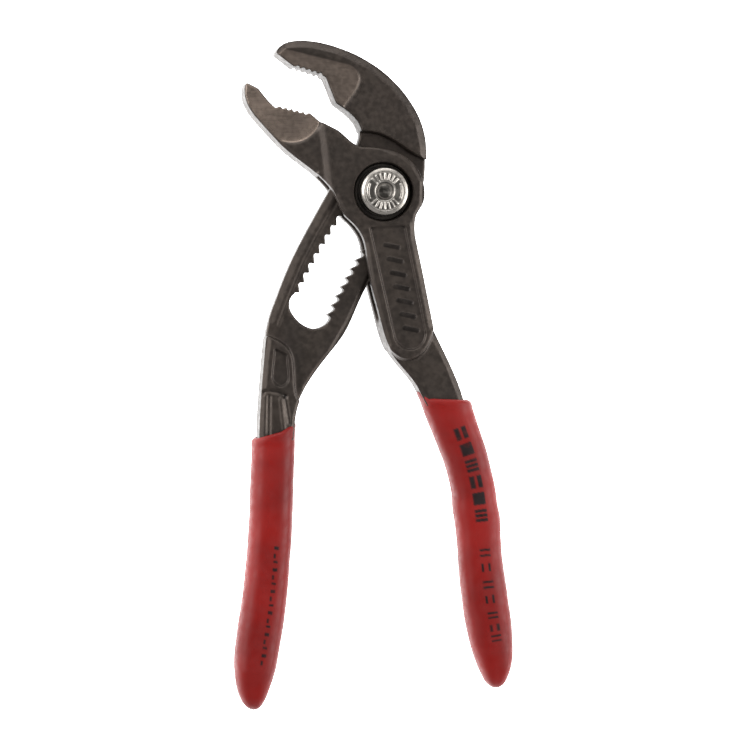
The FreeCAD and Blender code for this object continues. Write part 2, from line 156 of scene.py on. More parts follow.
def makeForgeGrain():
    tree, entry, leave = newGroup("forgeGrain", [
        ("Place", "vector", None), ("Dark", "colour", (0.03, 0.03, 0.03, 1)),
        ("Light", "colour", (0.1, 0.1, 0.1, 1)),
        ("Scale", "number", 900.0), ("Smooth", "number", 0.35), ("Rough", "number", 0.6)],
        [("Colour", "colour"), ("Roughness", "number"), ("Height", "number")])
    place = entry.outputs["Place"]
    blotch = addNoise(tree, place, 170.0, 4.0)
    grain = addNoise(tree, place, entry.outputs["Scale"], 5.0)
    pits = addNoise(tree, place, 2600.0, 2.0)
    share = addSpread(tree, addMath(tree, "ADD", blotch, addMath(tree, "MULTIPLY", grain, 0.6)), 0.62, 1.0)
    tree.links.new(addMix(tree, share, entry.outputs["Dark"], entry.outputs["Light"]), leave.inputs["Colour"])
    tree.links.new(addSpread(tree, grain, 0.3, 0.7, entry.outputs["Smooth"], entry.outputs["Rough"]),
                   leave.inputs["Roughness"])
    tree.links.new(addMath(tree, "ADD", grain, addMath(tree, "MULTIPLY", pits, 0.5)), leave.inputs["Height"])
    return tree


def makeEdgeWear():
    tree, entry, leave = newGroup("edgeWear", [
        ("Place", "vector", None), ("Colour", "colour", (0.1, 0.1, 0.1, 1)),
        ("Worn", "colour", (0.5, 0.5, 0.5, 1)),
        ("Edge", "number", 0.0), ("Start", "number", 0.3), ("Full", "number", 0.8)],
        [("Colour", "colour"), ("Mask", "number")])
    patches = addNoise(tree, entry.outputs["Place"], 420.0, 4.0)
    uneven = addMath(tree, "MULTIPLY", entry.outputs["Edge"], addSpread(tree, patches, 0.25, 0.65, 0.45, 1.15))
    mask = addSpread(tree, uneven, entry.outputs["Start"], entry.outputs["Full"])
    tree.links.new(addMix(tree, mask, entry.outputs["Colour"], entry.outputs["Worn"]), leave.inputs["Colour"])
    tree.links.new(mask, leave.inputs["Mask"])
    return tree


# darkens a colour by a mask: settled grime in part, and painted shade in hollows, on the stamped bars and
# between the button's ribs
def makeSettledGrime():
    tree, entry, leave = newGroup("settledGrime", [
        ("Place", "vector", None), ("Colour", "colour", (0.1, 0.1, 0.1, 1)),
        ("Grime", "colour", (0.01, 0.01, 0.01, 1)),
        ("Hollow", "number", 0.0), ("Amount", "number", 0.7)],
        [("Colour", "colour"), ("Mask", "number")])
    patches = addNoise(tree, entry.outputs["Place"], 600.0, 3.0)
    mask = addMath(tree, "MULTIPLY", addSpread(tree, entry.outputs["Hollow"], 0.05, 0.6),
                   addMath(tree, "MULTIPLY", entry.outputs["Amount"],
                           addSpread(tree, patches, 0.2, 0.6, 0.5, 1.0)))
    tree.links.new(addMix(tree, mask, entry.outputs["Colour"], entry.outputs["Grime"]), leave.inputs["Colour"])
    tree.links.new(mask, leave.inputs["Mask"])
    return tree


def makeGrindLines():
    tree, entry, leave = newGroup("grindLines", [
        ("Place", "vector", None), ("Colour", "colour", (0.1, 0.1, 0.1, 1)),
        ("Bright", "colour", (0.3, 0.3, 0.3, 1)),
        ("Mask", "number", 1.0)],
        [("Colour", "colour"), ("Height", "number")])
    scratches = addNoise(tree, entry.outputs["Place"], 1.0, 2.0, (350.0, 5200.0, 350.0))
    clouds = addNoise(tree, entry.outputs["Place"], 110.0, 2.0)
    tone = addSpread(tree, addMath(tree, "ADD", addMath(tree, "MULTIPLY", scratches, 0.3), clouds), 0.35, 0.95)
    cover = addMath(tree, "ADD", 0.35, addMath(tree, "MULTIPLY", tone, 0.65))
    share = addMath(tree, "MULTIPLY", entry.outputs["Mask"], cover)
    tree.links.new(addMix(tree, share, entry.outputs["Colour"], entry.outputs["Bright"]),
                   leave.inputs["Colour"])
    tree.links.new(addMath(tree, "MULTIPLY", entry.outputs["Mask"], scratches), leave.inputs["Height"])
    return tree


def makeTurnedRings():
    tree, entry, leave = newGroup("turnedRings", [
        ("Place", "vector", None), ("Pitch", "number", 0.00012), ("Smooth", "number", 0.2),
        ("Rough", "number", 0.4)],
        [("Roughness", "number"), ("Height", "number")])
    split = tree.nodes.new("ShaderNodeSeparateXYZ")
    tree.links.new(entry.outputs["Place"], split.inputs[0])
    square = addMath(tree, "ADD", addMath(tree, "MULTIPLY", split.outputs[0], split.outputs[0]),
                     addMath(tree, "MULTIPLY", split.outputs[1], split.outputs[1]))
    radius = addMath(tree, "SQRT", square, 0.0)
    turns = addMath(tree, "DIVIDE", addMath(tree, "ADD", radius, split.outputs[2]), entry.outputs["Pitch"])
    wave = addMath(tree, "SINE", addMath(tree, "MULTIPLY", turns, math.tau), 0.0)
    fine = addNoise(tree, entry.outputs["Place"], 1500.0, 3.0)
    tree.links.new(addMath(tree, "ADD", addMath(tree, "MULTIPLY", wave, 0.3), fine), leave.inputs["Height"])
    tree.links.new(addSpread(tree, fine, 0.3, 0.7, entry.outputs["Smooth"], entry.outputs["Rough"]),
                   leave.inputs["Roughness"])
    return tree


def makeVinylSkin():
    tree, entry, leave = newGroup("vinylSkin", [
        ("Place", "vector", None), ("Colour", "colour", (0.5, 0.1, 0.1, 1)),
        ("Deep", "colour", (0.3, 0.03, 0.03, 1)),
        ("Smooth", "number", 0.25), ("Rough", "number", 0.45)],
        [("Colour", "colour"), ("Roughness", "number"), ("Height", "number")])
    place = entry.outputs["Place"]
    clouds = addNoise(tree, place, 90.0, 3.0)
    dimples = addNoise(tree, place, 700.0, 2.0)
    pores = addNoise(tree, place, 3200.0, 2.0)
    tree.links.new(addMix(tree, addSpread(tree, clouds, 0.3, 0.7),
                          entry.outputs["Deep"], entry.outputs["Colour"]), leave.inputs["Colour"])
    tree.links.new(addSpread(tree, dimples, 0.3, 0.7, entry.outputs["Smooth"], entry.outputs["Rough"]),
                   leave.inputs["Roughness"])
    tree.links.new(addMath(tree, "ADD", dimples, addMath(tree, "MULTIPLY", pores, 0.25)),
                   leave.inputs["Height"])
    return tree


forgeGrain = makeForgeGrain()
edgeWear = makeEdgeWear()
settledGrime = makeSettledGrime()
grindLines = makeGrindLines()
turnedRings = makeTurnedRings()
vinylSkin = makeVinylSkin()
print("stage: node groups built")


def newMaterial(name, metallic, specular=0.5):
    material = bpy.data.materials.new(name)
    material.use_nodes = True
    tree = material.node_tree
    shader = tree.nodes["Principled BSDF"]
    shader.inputs["Metallic"].default_value = metallic
    shader.inputs["Specular IOR Level"].default_value = specular
    place = tree.nodes.new("ShaderNodeTexCoord").outputs["Object"]
    return material, tree, shader, place


def useGroup(tree, group, place, **values):
    node = tree.nodes.new("ShaderNodeGroup")
    node.node_tree = group
    tree.links.new(place, node.inputs["Place"])
    for label, value in values.items():
        socket = node.inputs[label]
        if isinstance(value, bpy.types.NodeSocket):
            tree.links.new(value, socket)
        else:
            socket.default_value = value
    return node


def readMark(tree, name):
    node = tree.nodes.new("ShaderNodeAttribute")
    node.attribute_name = name
    return node.outputs["Fac"]


def addBump(tree, shader, height, strength, distance):
    bump = tree.nodes.new("ShaderNodeBump")
    bump.inputs["Strength"].default_value = strength
    bump.inputs["Distance"].default_value = distance
    tree.links.new(height, bump.inputs["Height"])
    tree.links.new(bump.outputs["Normal"], shader.inputs["Normal"])


steelLook = {
    "dark": paint(52, 46, 42),
    "light": paint(59, 52, 47),
    "worn": paint(120, 112, 105),
    # near-black for settled grime and for painted shade in hollows and on the stamped bars
    "grimeAndShade": paint(16, 13, 12),
    "ground": paint(136, 121, 110),
    "metallic": 0.75,
    "grainScale": 1100.0,
    "smooth": 0.34,
    "rough": 0.5,
    "bump": 0.25,
}


def makeForgedSteel(look):
    material, tree, shader, place = newMaterial("forgedSteel", look["metallic"])
    grain = useGroup(tree, forgeGrain, place, Dark=look["dark"], Light=look["light"], Scale=look["grainScale"],
                     Smooth=look["smooth"], Rough=look["rough"])
    # darkening by the grime-and-shade mask: settled grime plus painted shade
    grimeAndShade = useGroup(tree, settledGrime, place, Colour=grain.outputs["Colour"], Grime=look["grimeAndShade"],
                     Hollow=readMark(tree, "grimeShade"), Amount=0.8)
    ground = useGroup(tree, grindLines, place, Colour=grimeAndShade.outputs["Colour"], Bright=look["ground"],
                      Mask=readMark(tree, "ground"))
    worn = useGroup(tree, edgeWear, place, Colour=ground.outputs["Colour"], Worn=look["worn"],
                    Edge=readMark(tree, "edge"), Start=0.4, Full=1.1)
    tree.links.new(worn.outputs["Colour"], shader.inputs["Base Color"])
    bared = addMath(tree, "MAXIMUM", worn.outputs["Mask"], readMark(tree, "ground"))
    polished = addMath(tree, "MULTIPLY", bared, 0.1)
    tree.links.new(addMath(tree, "SUBTRACT", grain.outputs["Roughness"], polished), shader.inputs["Roughness"])
    height = addMath(tree, "ADD", grain.outputs["Height"], ground.outputs["Height"])
    addBump(tree, shader, height, look["bump"], 0.00006)
    return material


gripLook = {
    "red": paint(113, 15, 11),
    "deep": paint(96, 12, 9),
    "ink": paint(20, 8, 9),
    "smooth": 0.38,
    "rough": 0.56,
    "bump": 0.14,
}


def makeDippedVinyl(look):
    material, tree, shader, place = newMaterial("dippedVinyl", 0.0, specular=0.2)
    skin = useGroup(tree, vinylSkin, place, Colour=look["red"], Deep=look["deep"], Smooth=look["smooth"],
                    Rough=look["rough"])
    patches = addSpread(tree, addNoise(tree, place, 900.0, 3.0), 0.25, 0.5, 0.82, 1.0)
    share = addMath(tree, "MULTIPLY", readMark(tree, "ink"), patches)
    tree.links.new(addMix(tree, share, skin.outputs["Colour"], look["ink"]), shader.inputs["Base Color"])
    tree.links.new(skin.outputs["Roughness"], shader.inputs["Roughness"])
    shader.inputs["Subsurface Weight"].default_value = 0.05
    shader.inputs["Subsurface Radius"].default_value = (0.002, 0.0005, 0.0005)
    addBump(tree, shader, skin.outputs["Height"], look["bump"], 0.00008)
    return material


turnedLooks = {
    "polishedButton": {"bright": paint(164, 159, 153), "dark": paint(128, 123, 117), "metallic": 1.0,
                       "smooth": 0.26, "rough": 0.4, "pitch": 0.00016},
    "turnedBolt": {"bright": paint(120, 114, 108), "dark": paint(88, 82, 78), "metallic": 0.9,
                   "smooth": 0.28, "rough": 0.42, "pitch": 0.00012},
    "springWire": {"bright": paint(62, 58, 54), "dark": paint(40, 37, 34), "metallic": 0.85,
                   "smooth": 0.35, "rough": 0.5, "pitch": 0.0002},
}
# the grime colour also paints shade between the button's ribs and in its middle
turnedMarks = {"grimeAndShade": paint(30, 28, 25), "worn": paint(222, 218, 212), "stainScale": 450.0, "bump": 0.2}


def makeTurnedSteel(name, look, marks):
    material, tree, shader, place = newMaterial(name, look["metallic"])
    rings = useGroup(tree, turnedRings, place, Pitch=look["pitch"],
                     Smooth=look["smooth"], Rough=look["rough"])
    stains = addSpread(tree, addNoise(tree, place, marks["stainScale"], 4.0), 0.3, 0.8)
    coloured = addMix(tree, stains, look["bright"], look["dark"])
    # darkening by the grime-and-shade mask: painted shade between the button's ribs
    grimeAndShade = useGroup(tree, settledGrime, place, Colour=coloured, Grime=marks["grimeAndShade"],
                     Hollow=readMark(tree, "grimeShade"), Amount=0.9)
    worn = useGroup(tree, edgeWear, place, Colour=grimeAndShade.outputs["Colour"], Worn=marks["worn"],
                    Edge=readMark(tree, "edge"), Start=0.3, Full=0.9)
    tree.links.new(worn.outputs["Colour"], shader.inputs["Base Color"])
    tree.links.new(rings.outputs["Roughness"], shader.inputs["Roughness"])
    addBump(tree, shader, rings.outputs["Height"], marks["bump"], 0.00004)
    return material


forgedSteel = makeForgedSteel(steelLook)
dippedVinyl = makeDippedVinyl(gripLook)
buttonSteel, boltSteel, springSteel = [
    makeTurnedSteel(name, look, turnedMarks) for name, look in turnedLooks.items()
]
print("stage: materials built")


# mesh helpers

def readPlaces(mesh):
    places = np.empty(len(mesh.vertices) * 3, np.float32)
    mesh.vertices.foreach_get("co", places)
    return places.reshape(-1, 3).astype(float)


def readNormals(mesh):
    normals = np.empty(len(mesh.vertices) * 3, np.float32)
    mesh.vertex_normals.foreach_get("vector", normals)
    return normals.reshape(-1, 3).astype(float)


def writePlaces(mesh, places):
    mesh.vertices.foreach_set("co", places.astype(np.float32).ravel())
    mesh.update()


def writeMark(mesh, name, values):
    mark = mesh.attributes.get(name) or mesh.attributes.new(name, "FLOAT", "POINT")
    mark.data.foreach_set("value", values.astype(np.float32))


def neighbourMean(mesh, values):
    ends = np.empty(len(mesh.edges) * 2, np.int32)
    mesh.edges.foreach_get("vertices", ends)
    first, second = ends.reshape(-1, 2).T
    count = np.bincount(ends, minlength=len(mesh.vertices)).astype(float)
    columns = []
    for column in values.T:
        total = np.bincount(first, column[second], len(column))
        total = total + np.bincount(second, column[first], len(column))
        columns.append(total / np.maximum(count, 1.0))
    return np.array(columns).T


def markEdges(piece, gain, spread, quiet=()):
    mesh = piece.data
    places = readPlaces(mesh)
    normals = readNormals(mesh)
    bend = ((places - neighbourMean(mesh, places)) * normals).sum(axis=1) / mm
    for _ in range(spread):
        bend = neighbourMean(mesh, bend[:, None])[:, 0]
    edge = np.clip(bend * gain, 0.0, 1.0)
    if quiet:
        # a sheltered floor keeps its skin
        edge *= 0.2 + 0.8 * rise(lineDistance(places[:, :2] / mm, quiet), 1.7, 2.1)
    writeMark(mesh, "edge", edge)
    # concave bends feed the darkening mask: part settled grime, part painted shade in hollows
    writeMark(mesh, "grimeShade", np.clip(-bend * gain, 0.0, 1.0))


def applyModifiers(piece):
    bpy.context.view_layer.objects.active = piece
    bpy.ops.object.select_all(action="DESELECT")
    piece.select_set(True)
    for modifier in list(piece.modifiers):
        bpy.ops.object.modifier_apply(modifier=modifier.name)


def newPiece(name, vertices, faces, material, body):
    mesh = bpy.data.meshes.new(name)
    mesh.from_pydata([tuple(v) for v in vertices], [], faces)
    mesh.validate()
    piece = bpy.data.objects.new(name, mesh)
    bpy.context.scene.collection.objects.link(piece)
    finishPiece(piece, material, body)
    return piece


def finishPiece(piece, material, body):
    piece.data.materials.clear()
    piece.data.materials.append(material)
    piece.data.polygons.foreach_set("use_smooth", [True] * len(piece.data.polygons))
    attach(piece, body)


# the two forged legs

slotArc = {"radius": 106.7 * mm, "lean": 38.2, "start": -6.5 * mm, "end": 27.0 * mm}


def slotZone(places):
    lean = math.radians(slotArc["lean"])
    centre = np.array([slotArc["radius"] * math.cos(lean), -slotArc["radius"] * math.sin(lean)])
    away = places[:, :2] - centre
    reach = np.linalg.norm(away, axis=1)
    turn = np.arctan2(away[:, 1], away[:, 0]) - (math.pi - lean)
    turn = (turn + math.pi) % math.tau - math.pi
    along = turn * slotArc["radius"]
    across = np.abs(reach - slotArc["radius"])
    inside = (along > slotArc["start"]) & (along < slotArc["end"])
    return np.where(inside, across, 1.0)


barRow = {"first": (1.6, -10.2), "step": (0.611, -2.6), "half": (1.2, -0.24), "count": 7}


def barLines(row):
    lines = []
    for bar in range(row["count"]):
        x = row["first"][0] + row["step"][0] * bar
        y = row["first"][1] + row["step"][1] * bar
        lines.append([(x - row["half"][0], y - row["half"][1]), (x + row["half"][0], y + row["half"][1])])
    return lines


boxLegShape = {
    "node": "box_leg",
    "body": "box_side",
    "teeth": [(-19.6, 16.1), (-13.6, 14.7)],
    "crisp": [[(-2.6, -6.8), (-1.2, -13.0), (2.0, -27.0), (2.8, -28.6), (4.1, -29.5), (5.5, -29.7),
               (6.8, -29.1), (7.7, -28.0), (8.0, -26.6), (7.0, -21.2), (5.0, -11.4), (4.0, -6.4)]],
    "bevels": [
        {"top": 10.0, "width": 1.0, "depth": 0.36,
         "line": [(5.95, -6.2), (6.1, -8.6), (7.5, -15.2), (9.5, -25.3)]},
        {"top": 10.0, "width": 0.55, "depth": 0.4,
         "line": [(-1.8, 9.3), (0.0, 8.15), (2.67, 7.33), (5.5, 5.5), (7.5, 2.0), (7.4, -2.4),
                  (6.3, -4.3), (5.95, -6.2)]},
        {"top": 10.0, "width": 0.8, "depth": 0.36,
         "line": [(0.8, -28.7), (0.6, -28.0), (-0.8, -23.0), (-2.2, -17.6), (-3.1, -12.2), (-3.5, -9.6),
                  (-4.4, -7.6), (-5.9, -5.8), (-7.5, -4.2), (-8.7, -1.6), (-9.3, -0.4)]},
        {"top": 9.3, "width": 0.8, "depth": 0.55,
         "line": [(-12.8, 3.6), (-17.8, 7.4), (-22.8, 12.5), (-25.5, 16.1), (-26.1, 18.2), (-25.8, 20.4)]},
        {"top": 8.6, "width": 0.9, "depth": 0.6,
         "line": [(1.3, -29.8), (1.9, -30.6), (4.4, -33.7), (7.3, -37.9), (8.5, -40.5)]},
        {"top": 8.6, "width": 0.9, "depth": 0.6,
         "line": [(9.8, -26.6), (11.5, -29.6), (13.0, -32.7), (15.4, -38.9), (16.5, -42.5)]},
    ],
    "grooves": [],
    "stamped": barLines(barRow),
    "quiet": [(1.6, -10.2), (5.3, -25.8)],   # the panel floor, where edges don't wear
    # painted light: this leg's jaw pads keep full brightness
    "padPaintedLight": 1.0,
    "hasSlot": False,
}
slottedLegShape = {
    "node": "slotted_leg",
    "body": "slotted_side",
    "teeth": [(-11.2, 21.6), (-16.9, 23.4)],
    "crisp": [[(-20.4, -29.4), (-20.9, -34.6), (-19.2, -36.6), (-17.7, -34.8), (-18.1, -30.6),
               (-20.4, -29.4)]],
    "bevels": [
        {"top": 9.3, "width": 1.25, "depth": 0.85,
         "line": [(-20.2, 25.9), (-18.8, 27.6), (-16.8, 28.2), (-13.5, 28.2), (-8.0, 26.9), (-2.4, 24.3),
                  (2.3, 20.6), (5.4, 16.8), (7.4, 12.9), (8.3, 8.6), (8.35, 6.5)]},
        {"top": 6.9, "width": 1.3, "depth": 0.42,
         "line": [(-6.9, 5.2), (-10.3, -0.5), (-14.6, -8.2), (-16.8, -12.5), (-18.4, -16.1),
                  (-19.9, -20.0), (-21.2, -23.6)]},
        {"top": 8.6, "width": 1.0, "depth": 0.42,
         "line": [(-21.8, -27.0), (-22.4, -31.5), (-22.9, -37.5), (-23.3, -45.2), (-23.4, -48.0)]},
        {"top": 6.9, "width": 0.6, "depth": 0.35,
         "line": [(-0.2, -11.5), (-3.5, -18.6), (-6.6, -25.0), (-9.7, -30.2), (-12.7, -34.1),
                  (-14.4, -36.8)]},
        {"top": 8.6, "width": 0.7, "depth": 0.5,
         "line": [(-14.9, -37.6), (-15.3, -38.5), (-16.5, -43.0), (-16.8, -46.0)]},
    ],
    "grooves": [
        {"line": [(-22.6, -37.8), (-21.4, -37.4), (-19.6, -37.7), (-18.4, -38.4)],
         "half": 0.35, "depth": 0.3},
        {"line": [(-21.5, -38.4), (-21.6, -46.0)], "half": 0.45, "depth": 0.3},
        {"line": [(-8.4, -1.6), (-12.4, -8.6), (-14.8, -13.2), (-16.5, -17.3), (-18.0, -21.0),
                  (-19.5, -25.0)], "half": 0.28, "depth": 0.11},
        {"line": [(-19.3, -39.1), (-18.7, -44.6)], "half": 0.4, "depth": -0.22},
        {"line": [(-18.4, -38.4), (-17.6, -43.5)], "half": 0.35, "depth": 0.25},
    ],
    "quiet": [],
    "stamped": [],
    # painted shade: this leg's jaw pads are painted darker than the box leg's
    "padPaintedLight": 0.4,
    "hasSlot": True,
}
legFinish = {
    "voxel": 0.17,
    "softRounds": 22,
    "softLevels": 16,                         # how many strengths of smoothing
    "plainSoftness": 0.18,                    # least softness at the jaw teeth, before it climbs to 1
    "crispSoftness": 0.12,
    "toothSoftness": 0.05,
    "boltSoftness": 0.25,
    "plainZone": (1.0, 2.2),                  # a zone is the two distances where an effect begins and ends
    "toothZone": (0.9, 2.0),
    "crispZone": (0.5, 1.1),
    "slotZone": (4.5, 5.2),
    "boltZone": (5.9, 6.6),
    "settleRounds": 3,
    "panelFloor": 4.5,                        # over the middle plane
    "stampHeight": 0.1,
    # strength of the painted shade on the stamped bars
    "stampShade": 0.5,
    "stampZone": (0.9, 1.15),
    "stampEdge": (0.3, 0.52),
    "shadeEdge": (0.35, 0.6),
    "padHeight": 3.95,                        # over the middle plane
    "padCorner": (-3.0, 8.5),                 # jaw pads lie left of and above this
    "edgeGain": 26.0,
    "edgeSpread": 3,
    "triangles": 180000,
}


def makeLeg(shape, finish):
    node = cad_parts[shape["node"]]
    piece = bpy.data.objects.new(shape["node"] + "_forging", node.data.copy())
    bpy.context.scene.collection.objects.link(piece)
    weld = piece.modifiers.new("weld", "WELD")
    weld.merge_threshold = 0.002 * mm
    remesh = piece.modifiers.new("remesh", "REMESH")
    remesh.mode = "VOXEL"
    remesh.voxel_size = finish["voxel"] * mm
    applyModifiers(piece)
    mesh = piece.data
    places = readPlaces(mesh)
    flat = places[:, :2] / mm
    plain = finish["plainSoftness"]
    toothed = lineDistance(flat, shape["teeth"])
    softness = plain + (1.0 - plain) * rise(toothed, *finish["plainZone"])
    softness = np.minimum(softness, finish["toothSoftness"] + rise(toothed, *finish["toothZone"]))
    for line in shape["crisp"]:
        sharp = finish["crispSoftness"] + rise(lineDistance(flat, line), *finish["crispZone"])
        softness = np.minimum(softness, sharp)
    if shape["hasSlot"]:
        sharp = finish["toothSoftness"] + rise(slotZone(places) / mm, *finish["slotZone"])
        softness = np.minimum(softness, sharp)
    bolt = np.linalg.norm(flat, axis=1)
    softness = np.minimum(softness, finish["boltSoftness"] + rise(bolt, *finish["boltZone"]))
    group = piece.vertex_groups.new(name="soft")
    levels = finish["softLevels"]
    steps = np.clip(np.round(softness * levels), 0, levels).astype(int)
    for step in range(levels + 1):
        members = np.nonzero(steps == step)[0]
        if len(members):
            group.add(members.tolist(), step / levels, "REPLACE")
    soften = piece.modifiers.new("soften", "SMOOTH")
    soften.factor = 0.5
    soften.iterations = finish["softRounds"]
    soften.vertex_group = "soft"
    applyModifiers(piece)
    places = readPlaces(mesh)
    normals = readNormals(mesh)
    flat = places[:, :2] / mm
    facing = rise(np.abs(normals[:, 2]), 0.5, 0.85) * np.sign(normals[:, 2])
    above = places[:, 2] / mm - midZ
    for bevel in shape["bevels"]:
        away = lineDistance(flat, bevel["line"])
        level = bevel["top"] - midZ
        limit = level - bevel["depth"] * np.clip(1.0 - away / bevel["width"], 0.0, 1.0)
        near = (away < bevel["width"]) & (np.abs(above) < level + 0.06)
        above = np.where(near, np.clip(above, -limit, limit), above)
    for groove in shape["grooves"]:
        profile = 1.0 - rise(lineDistance(flat, groove["line"]), 0.2 * groove["half"], 1.6 * groove["half"])
        above -= facing * profile * groove["depth"]
    for line in shape["stamped"]:             # bars are laid flat, then raised a little with soft edges
        around = 1.0 - rise(lineDistance(flat, line), *finish["stampZone"])
        lowered = np.clip(above, -finish["panelFloor"], finish["panelFloor"])
        inPanel = (around > 0.0) & (np.abs(normals[:, 2]) > 0.5)
        above = np.where(inPanel, above + (lowered - above) * around, above)
        profile = 1.0 - rise(lineDistance(flat, line), *finish["stampEdge"])
        above += facing * profile * finish["stampHeight"]
    places[:, 2] = (above + midZ) * mm
    writePlaces(mesh, places)
    settle = piece.modifiers.new("settle", "SMOOTH")
    settle.factor = 0.5
    settle.iterations = finish["settleRounds"]
    settle.vertex_group = "soft"
    applyModifiers(piece)
    faces = len(mesh.polygons) * 2
    if faces > finish["triangles"]:
        thin = piece.modifiers.new("thin", "DECIMATE")
        thin.ratio = finish["triangles"] / faces
        applyModifiers(piece)
    mesh = piece.data
    piece.vertex_groups.clear()
    markEdges(piece, finish["edgeGain"], finish["edgeSpread"], shape["quiet"])
    places = readPlaces(mesh)
    normals = readNormals(mesh)
    flat = places[:, :2] / mm
    level = np.abs(normals[:, 2])
    # painted shade: the stamped bars' tops are darkened, standing in for the shade on the low relief
    dark = np.zeros(len(places))
    for line in shape["stamped"]:
        dark = np.maximum(dark, 1.0 - rise(lineDistance(flat, line), *finish["shadeEdge"]))
    grimeShade = np.empty(len(places), np.float32)
    mesh.attributes["grimeShade"].data.foreach_get("value", grimeShade)
    writeMark(mesh, "grimeShade", np.maximum(grimeShade, finish["stampShade"] * dark * (level > 0.5)))
    height = np.abs(places[:, 2] / mm - midZ)
    pad = (1.0 - rise(np.abs(height - finish["padHeight"]), 0.08, 0.2)) * rise(level, 0.8, 0.97)
    pad *= (flat[:, 0] < finish["padCorner"][0]) & (flat[:, 1] > finish["padCorner"][1])
    # painted light: the slotted leg's pads get 0.4 of the box leg's brightness, standing in for the brighter
    # reflection on the lower jaw
    writeMark(mesh, "ground", pad * shape["padPaintedLight"])
    finishPiece(piece, forgedSteel, shape["body"])
    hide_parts(shape["node"])
    print("stage:", piece.name, "with", len(mesh.polygons), "faces")


makeLeg(boxLegShape, legFinish)
makeLeg(slottedLegShape, legFinish)


# dipped grips: rounded sections along a centre line, with a rolled lip and an open pocket

boxLegGripShape = {
    "node": "box_leg_grip",
    "body": "box_side",
    "line": [(11.1, -36.0, 8.9), (12.9, -41.0, 8.75), (14.6, -45.6, 8.5), (16.4, -50.6, 8.2),
             (17.6, -55.4, 8.15), (18.05, -58.0, 8.1), (18.35, -60.2, 8.6), (18.8, -65.0, 8.2),
             (19.3, -71.0, 8.35), (20.2, -78.0, 8.55), (21.2, -84.6, 8.1), (21.8, -88.6, 6.9),
             (22.0, -91.6, 5.0), (22.05, -93.6, 2.4), (22.05, -94.05, 0.0)],
    "lip": [(-4.4, -0.1), (-3.15, 1.95), (4.4, 5.0)],
    "pocketEnd": 50.5,
    "marks": [("bold", 9.0, 6, 2.35, 0.85, 0.25, 2.3), ("thin", 32.5, 2, 1.9, 0.7, 0.35, 2.0),
              ("thin", 38.6, 2, 1.9, 0.7, 0.35, 2.0), ("thin", 44.6, 3, 1.6, 0.6, 0.45, 2.0)],
}
slottedLegGripShape = {
    "node": "slotted_leg_grip",
    "body": "slotted_side",
    "line": [(-20.2, -42.5, 7.9), (-20.4, -49.0, 8.0), (-20.65, -56.0, 8.1), (-20.9, -63.0, 8.1),
             (-21.4, -70.0, 8.1), (-22.15, -77.4, 8.35), (-23.2, -84.4, 8.3), (-23.9, -89.8, 7.7),
             (-24.2, -93.4, 6.2), (-24.2, -95.8, 4.4), (-24.15, -97.2, 2.2), (-24.15, -97.6, 0.0)],
    "lip": [(-4.1, 4.1), (1.1, 2.5), (4.1, 0.5)],
    "pocketEnd": 43.5,
    "marks": [("small", 24.0, 17, 0.85, 0.5, 1.0, 0.95)],
}
gripMake = {
    "thickness": 8.8,
    "wall": 1.0,
    "wallOver": 0.85,
    "fullWidth": 7.6,                         # narrower than this, the grip also gets thinner
    "around": 132,
    "step": 0.21,
    "pocketRings": 26,
    "lipRings": 6,
    "lipMiddle": 2.5,                         # how far along the line the lip lies on average
    "lipSwell": 0.1,
    "tipFade": 6.0,
    "outerShape": 2.9,
    "pocketShape": 6.0,
    "waviness": 0.035,
    "inkSoftness": 0.08,
}
markShapes = {
    "bold": [[(0.0, 1.0, 0.0, 0.4), (0.0, 1.0, 0.6, 1.0)], [(0.0, 1.0, 0.0, 1.0)],
             [(0.0, 0.26, 0.0, 1.0), (0.37, 0.63, 0.0, 1.0), (0.74, 1.0, 0.0, 1.0)]],
    "thin": [[(0.0, 0.22, 0.0, 1.0), (0.55, 0.78, 0.0, 1.0)],
             [(0.1, 0.9, 0.05, 0.28), (0.1, 0.9, 0.7, 0.95)]],
    "small": [[(0.0, 0.75, 0.0, 1.0)], [(0.0, 1.0, 0.0, 0.4)], [(0.0, 0.5, 0.1, 0.9)]],
}


def squircle(halfWidth, halfThick, power, count):
    turn = np.linspace(0.0, math.tau, 721)
    x = halfWidth * np.sign(np.cos(turn)) * np.abs(np.cos(turn)) ** (2.0 / power)
    z = halfThick * np.sign(np.sin(turn)) * np.abs(np.sin(turn)) ** (2.0 / power)
    length = np.concatenate([[0.0], np.cumsum(np.hypot(np.diff(x), np.diff(z)))])
    spots = np.linspace(0.0, length[-1], count + 1)[:-1]
    return np.interp(spots, length, x), np.interp(spots, length, z)


def printMarks(marks, along, across, softness):
    level = np.zeros(len(along))
    for kind, first, count, length, gap, offset, tall in marks:
        patterns = markShapes[kind]
        for index in range(count):
            low = first + index * (length + gap)
            for u0, u1, v0, v1 in patterns[index % len(patterns)]:
                nearAlong = np.minimum(along - low - u0 * length, low + u1 * length - along)
                nearAcross = np.minimum(across - offset + tall / 2.0 - v0 * tall,
                                        offset - tall / 2.0 + v1 * tall - across)
                level = np.maximum(level, rise(np.minimum(nearAlong, nearAcross), -softness, softness))
    return level


